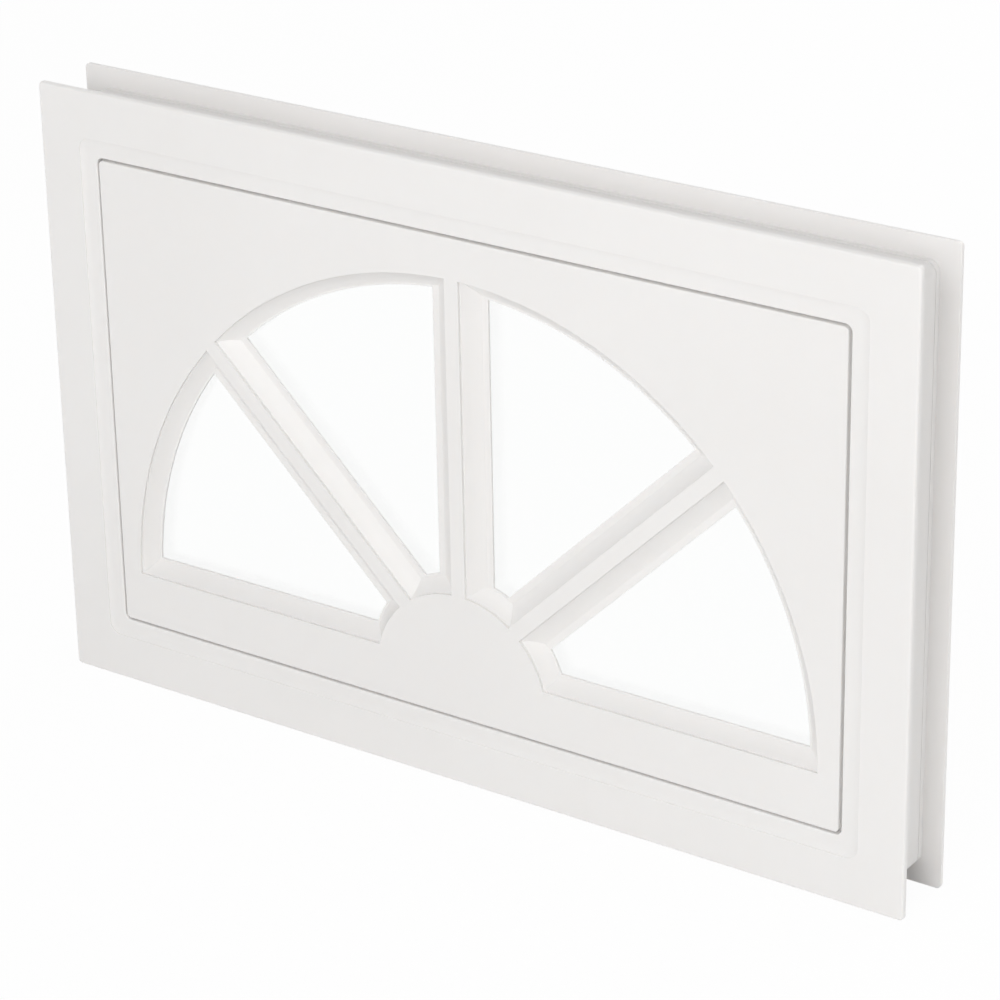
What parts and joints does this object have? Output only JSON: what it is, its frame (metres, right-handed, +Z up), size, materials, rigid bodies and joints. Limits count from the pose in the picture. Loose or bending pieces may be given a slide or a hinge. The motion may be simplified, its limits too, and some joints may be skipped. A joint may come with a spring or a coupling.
{
  "type": "garage door window insert with fanlight grille",
  "caption": "Two white plastic frames that clamp a garage door panel, with a clear pane and a snap-in sunburst fanlight grille.",
  "frame": {"origin": "on the floor under the middle of the assembly, halfway between the two flanges", "axes": "+X to the right seen from the street side, -Y out to the street, +Z up"},
  "size_m": [0.521, 0.041, 0.336],
  "materials": {
    "white_plastic": "satin moulded",
    "clear_glass": "clear polished",
    "foam_seal": "soft closed-cell foam",
    "painted_screw": "white painted steel"
  },
  "bodies": {
    "root": {"outside_frame": "white_plastic", "sunburst_grille": "white_plastic", "inside_frame": "white_plastic", "clear_pane": "clear_glass", "glazing_seal_top": "foam_seal", "glazing_seal_bottom": "foam_seal", "glazing_seal_left": "foam_seal", "glazing_seal_right": "foam_seal", "screw_top_1": "painted_screw", "screw_top_2": "painted_screw", "screw_top_3": "painted_screw", "screw_top_4": "painted_screw", "screw_bottom_1": "painted_screw", "screw_bottom_2": "painted_screw", "screw_bottom_3": "painted_screw", "screw_bottom_4": "painted_screw", "screw_left_1": "painted_screw", "screw_left_2": "painted_screw", "screw_right_1": "painted_screw", "screw_right_2": "painted_screw"}
  },
  "joints": []
}
